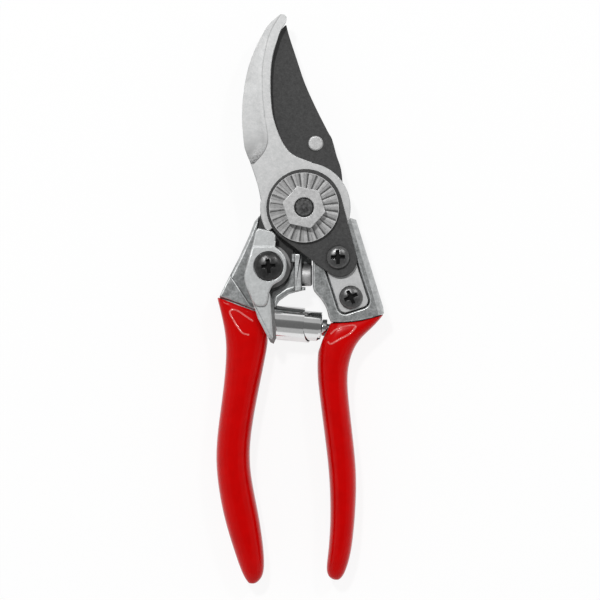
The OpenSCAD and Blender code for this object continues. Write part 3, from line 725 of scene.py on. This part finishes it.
def make_screw(node):
    """Domed head with a cross recess, painted black as shade."""
    piece = copy_of(node, RECESS_SHADE)
    top = top_of(node)
    middle = middle_of(node)
    # the recess's faces take the black: painted shade
    for face in piece.data.polygons:
        in_recess = top - 2 * MM < face.center.z < top - 0.4 * MM
        if in_recess and (face.center - middle).xy.length < CROSS_R:
            face.material_index = 1
    bpy.ops.object.mode_set(mode="EDIT")
    bpy.ops.mesh.select_all(action="SELECT")
    bpy.ops.transform.rotate(value=-math.radians(CROSS_TURN[node]), orient_axis="Z",
                             center_override=middle)
    bpy.ops.object.mode_set(mode="OBJECT")
    wear_edges(piece, 0.1, 40)
    settle(piece, node)


# Pivot: how far the plate's round end stands out, and how deep the washer's worn grooves are

STAND_OUT = 0.5 * MM
GROOVE_DEPTH = 0.25 * MM


def make_plate(node):
    """Coated plate with worn edges, whose round end stands out a little further, up and to the right."""
    piece = copy_of(node)
    way = Vector((0.5, 0.85, 0))
    for vertex in piece.data.vertices:
        out = Vector((vertex.co.x, vertex.co.y, 0))
        if out.length > 10 * MM and out.y > -4 * MM:
            vertex.co += way * max(out.normalized().dot(way), 0) * STAND_OUT
    round_rim(piece, top_of(node), 0.4)
    settle(piece, node)


def make_washer(node):
    """Toothed disc with worn, shallow grooves and rounded teeth."""
    piece = copy_of(node)
    top = top_of(node)
    for vertex in piece.data.vertices:
        if top - 0.6 * MM < vertex.co.z < top - 0.3 * MM:
            vertex.co.z = top - GROOVE_DEPTH
    wear_edges(piece, 0.2, 32)
    settle(piece, node)


# Spring: its axis from the wide end, and its length

SPRING_START = Vector((-12, -42.5, 8.8)) * MM
SPRING_TILT = math.radians(-5.2)
SPRING_AXIS = Vector((math.cos(SPRING_TILT), math.sin(SPRING_TILT), 0))
SPRING_LENGTH = 18.6 * MM


def along_spring(point):
    """A point's distance along the spring's axis, and its way out from it."""
    along = (point - SPRING_START).dot(SPRING_AXIS)
    return along, point - SPRING_START - along * SPRING_AXIS


# Grips: the crests that the dip left on them, as points of the photograph

CREST = {
    "left": ((252.5, 320.6), (246, 316.2), (238.7, 311.2), (233.7, 309.7), (230.2, 311.2),
             (230.6, 314.4), (234.4, 321.2), (238.7, 328.1), (243.1, 333.1), (248.7, 334.6)),
    "right": ((331, 333.5), (336, 329.4), (344.7, 326.2), (352.9, 325.2), (355.6, 326.5),
              (353.7, 329.6), (348.5, 334.4), (338.5, 339.7), (331, 343.7), (327.9, 341.9)),
}
CREST_HALF_WIDTH = 0.4 * MM
CREST_HEIGHT = 0.16 * MM
# how far down the grip the shift of its end fades
SHIFT_REACH = 9 * MM


def make_grip(node, side, hole_from, hole_to, hole_r):
    """Smooth dipped skin, with the CAD's sections as its cage, closed round the stud of the spring."""
    piece = copy_of(node, HIGHLIGHT_VINYL)

    def at_hole(vertex):
        along, out = along_spring(vertex.co)
        return hole_from * MM < along < hole_to * MM and out.length < hole_r * MM

    pick(piece, "VERT", at_hole)
    bpy.ops.mesh.delete(type="VERT")
    bpy.ops.mesh.select_all(action="SELECT")
    bpy.ops.mesh.fill_holes(sides=0)
    to_quads()
    bpy.ops.object.mode_set(mode="OBJECT")
    pick_edges(piece, lambda p: on_end(side, p))
    bpy.ops.transform.edge_crease(value=0.36)
    bpy.ops.object.mode_set(mode="OBJECT")
    apply(piece, "SUBSURF", levels=2, render_levels=2)
    for vertex in piece.data.vertices:
        fade = max(0, 1 - max(past_end(side, vertex.co), 0) / SHIFT_REACH) ** 2
        vertex.co.y += fade * end_shift(side, vertex.co)
    raise_crest(piece, smooth_path([photo_point(*pixel) for pixel in CREST[side]]))
    settle(piece, node, 60)


def raise_crest(piece, path):
    """Raises a fine ridge along a path on the piece's upper side, its top painted pale as a highlight."""

    def away(point, normal):
        return off_path(path, point) if normal.z > 0.3 else math.inf

    pick(piece, "FACE", lambda face: away(face.center, face.normal) < 3 * CREST_HALF_WIDTH)
    bpy.ops.mesh.subdivide(number_cuts=5)
    bpy.ops.object.mode_set(mode="OBJECT")
    shares = [away(vertex.co, vertex.normal) / CREST_HALF_WIDTH for vertex in piece.data.vertices]
    for vertex, share in zip(piece.data.vertices, shares):
        if share < 1:
            vertex.co.z += CREST_HEIGHT * math.cos(share * math.pi / 2) ** 2
    # the ridge's top takes the paler red: a painted highlight
    for face in piece.data.polygons:
        if away(face.center, face.normal) < CREST_HALF_WIDTH * 0.75:
            face.material_index = 1


# Strip of the spring: its turns, outer radius and the step between turns

STRIP_TURNS = 4.5
STRIP_R = 6.35 * MM
TURN_STEP = 0.82 * MM
# how far the CAD's strip stands out of the wide end, all of it within the first turns
CAD_RISE = 7.2 * MM
CAD_RISE_TURNS = 1.5
# how far the finished strip stands out, in millimetres, after so many turns
STRIP_RISE = ((0, 0.5), (0.3, 0.5), (0.5, 2.8), (1, 7), (1.25, 6.3), (1.5, 5.5), (2, 7),
              (STRIP_TURNS, 7.2))


def strip_turns(point):
    """How many turns along its strip a point of the spring lies, from the wide end."""
    across = Vector((-math.sin(SPRING_TILT), math.cos(SPRING_TILT), 0))
    out = along_spring(point)[1]
    part = math.atan2(out.z, out.dot(across)) / (2 * math.pi) % 1
    turns = round((STRIP_R - out.length) / TURN_STEP - part) + part
    return min(max(turns, 0), STRIP_TURNS)


def cad_rise(turns):
    """Rise of the CAD's strip."""
    return CAD_RISE * math.sin(math.pi / 2 * min(turns / CAD_RISE_TURNS, 1))


def stepped_rise(turns):
    """Rise of the strip, most of it on the underside, so that its turns show as steps from above."""
    for (start, low), (end, high) in zip(STRIP_RISE, STRIP_RISE[1:]):
        if turns <= end:
            return (low + (high - low) * (turns - start) / (end - start)) * MM


def make_spring(node):
    """Chromed strip, wound inwards; its turns slide out of each other as the handles open."""
    piece = copy_of(node)
    bpy.ops.object.mode_set(mode="EDIT")
    to_quads()
    bpy.ops.mesh.select_mode(type="EDGE")
    bpy.ops.mesh.select_all(action="DESELECT")
    bpy.ops.mesh.edges_select_sharp(sharpness=math.radians(50))
    bpy.ops.transform.edge_crease(value=1)
    bpy.ops.object.mode_set(mode="OBJECT")
    apply(piece, "SUBSURF", levels=2, render_levels=2)
    turns_at = [strip_turns(vertex.co) for vertex in piece.data.vertices]
    for vertex, turns in zip(piece.data.vertices, turns_at):
        vertex.co += SPRING_AXIS * (stepped_rise(turns) - cad_rise(turns))
    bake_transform(piece, "blade_side", "hook_side", start=SPRING_START,
             end=SPRING_START + SPRING_LENGTH * SPRING_AXIS)
    settle(piece, node, 50)
    weights = piece.data.attributes["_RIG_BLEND"].data
    for weight, turns in zip(weights, turns_at):
        weight.value = turns / STRIP_TURNS


# Studio: how white the floor is by itself to the camera, and in shiny metal

FLOOR_SEEN = 0.88
FLOOR_MIRRORED = 0.6
# grey of the tent's wall at heights from the horizon (0) to straight overhead (1)
TENT_GREY = ((0.4, 0.95), (0.55, 0.5), (0.86, 0.5), (0.93, 0.15))
WHITE = (1, 1, 1, 1)


def studio_floor():
    """Pale sheet under the pruner, white to the camera and to shiny metal, that keeps a soft shadow."""
    bpy.ops.mesh.primitive_plane_add(size=4, location=(0, 0, cad_box[0].z - 0.05 * MM))
    floor = bpy.context.object
    floor.name = "studio_floor"
    material = bpy.data.materials.new("white_paper_sweep")
    material.use_nodes = True
    tree = material.node_tree
    shader = tree.nodes["Principled BSDF"]
    shader.inputs["Base Color"].default_value = linear("#f4f4f4")
    shader.inputs["Roughness"].default_value = 0.9
    ray = add_node(tree, "ShaderNodeLightPath").outputs
    seen = reckon(tree, "MULTIPLY", ray["Is Camera Ray"], FLOOR_SEEN)
    bounced = reckon(tree, "MAXIMUM", ray["Is Glossy Ray"], ray["Is Transmission Ray"])
    mirrored = reckon(tree, "MULTIPLY", bounced, FLOOR_MIRRORED)
    share = reckon(tree, "MAXIMUM", seen, mirrored)
    glow = add_node(tree, "ShaderNodeEmission", {"Color": WHITE, "Strength": 1})
    both = add_node(tree, "ShaderNodeMixShader", {0: share, 1: shader.outputs[0], 2: glow.outputs[0]})
    tree.links.new(both.outputs[0], tree.nodes["Material Output"].inputs["Surface"])
    floor.data.materials.append(material)


def studio_world():
    """White tent with a dark opening overhead, that the camera sees as white all over."""
    world = bpy.data.worlds.new("studio_tent")
    bpy.context.scene.world = world
    world.use_nodes = True
    tree = world.node_tree
    tent = tree.nodes["Background"]
    tent.inputs["Color"].default_value = WHITE
    way = add_node(tree, "ShaderNodeTexCoord").outputs["Generated"]
    height = add_node(tree, "ShaderNodeSeparateXYZ", {0: way}).outputs["Z"]
    walls = shaded(tree, height, [(place, (grey, grey, grey, 1)) for place, grey in TENT_GREY], "EASE")
    ray = add_node(tree, "ShaderNodeLightPath").outputs
    strength = add_node(tree, "ShaderNodeMix", {0: ray["Is Camera Ray"], 2: walls, 3: 1.0})
    tree.links.new(strength.outputs[0], tent.inputs["Strength"])


def soft_light(name, place, size, watts):
    """Square soft box aimed at the pruner's middle."""
    bpy.ops.object.light_add(type="AREA", location=place)
    light = bpy.context.object
    light.name = name
    light.data.shape = "SQUARE"
    light.data.size = size
    light.data.energy = watts
    light.rotation_mode = "QUATERNION"
    light.rotation_quaternion = (PHOTO_MIDDLE - Vector(place)).to_track_quat("-Z", "Y")


make_camera()
studio_floor()
studio_world()
soft_light("left_window", (-0.34, 0.64, 1.52), 0.12, 13)
soft_light("right_window", (0.66, 0.75, 1.38), 0.12, 4)

for node_name in WORN_EDGE:
    make_worn(node_name)
make_rimmed("blade_rivet", 0.2)
for node_name in CROSS_TURN:
    make_screw(node_name)
make_right_handle("right_handle")
make_left_handle("left_handle")
make_catch("latch_lever")
make_hook("hook_blade")
make_plate("lock_plate")
make_washer("serrated_washer")
make_rimmed("pivot_nut", 0.35)
make_rimmed("pivot_bolt", 0.6)
make_grip("left_grip", "left", hole_from=-8, hole_to=1, hole_r=2)
make_grip("right_grip", "right", hole_from=16, hole_to=27, hole_r=3.7)
make_spring("volute_spring")

bpy.context.scene.view_settings.view_transform = "Standard"
